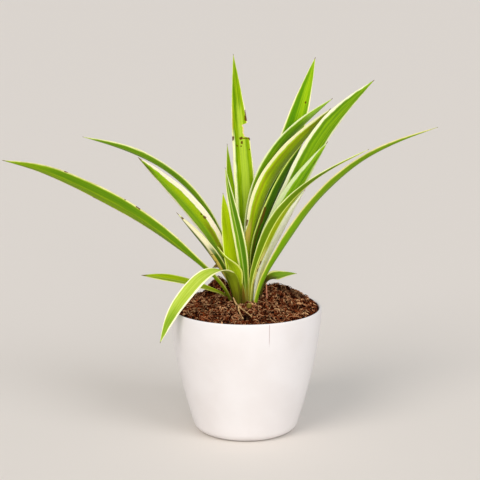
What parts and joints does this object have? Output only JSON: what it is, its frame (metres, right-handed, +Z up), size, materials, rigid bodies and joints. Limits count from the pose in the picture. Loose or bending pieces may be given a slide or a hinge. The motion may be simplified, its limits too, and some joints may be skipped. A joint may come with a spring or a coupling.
{
  "type": "potted spider plant",
  "caption": "Spider plant with long arching cream-edged leaves rising from a crown, in dark potting mix filled to the rim of a tapered white plastic pot.",
  "frame": {"origin": "middle of the pot's flat base, where it stands", "axes": "+Z up, -Y the front that the picture shows, +X to the right there"},
  "size_m": [0.3264, 0.1521, 0.2951],
  "materials": {
    "pot": "satin",
    "soil": "matte",
    "leaf": "satin",
    "stub": "satin",
    "dry": "matte",
    "strand": "matte"
  },
  "bodies": {
    "root": {"pot": "pot", "soil": "soil", "leaf_far_left": "leaf", "leaf_left_arching": "leaf", "leaf_left_broad": "leaf", "leaf_left_drying": "leaf", "leaf_low_left": "leaf", "leaf_bent_front": "leaf", "leaf_short_crown": "leaf", "leaf_centre_folded": "leaf", "leaf_upright_short": "leaf", "leaf_upright_behind": "leaf", "leaf_upright_tall": "leaf", "leaf_right_arch_inner": "leaf", "leaf_right_arch_middle": "leaf", "leaf_right_arch_outer": "leaf", "leaf_right_broad": "leaf", "leaf_right_short": "leaf", "leaf_right_front": "leaf", "leaf_right_banded": "leaf", "leaf_far_right": "leaf", "leaf_low_right": "leaf", "leaf_upper_right": "leaf", "leaf_back_middle": "leaf", "leaf_back_left": "leaf", "leaf_back_right": "leaf", "dry_sheath": "dry", "stem_stub": "stub", "dry_stalk": "dry", "dry_strand": "strand"}
  },
  "joints": []
}
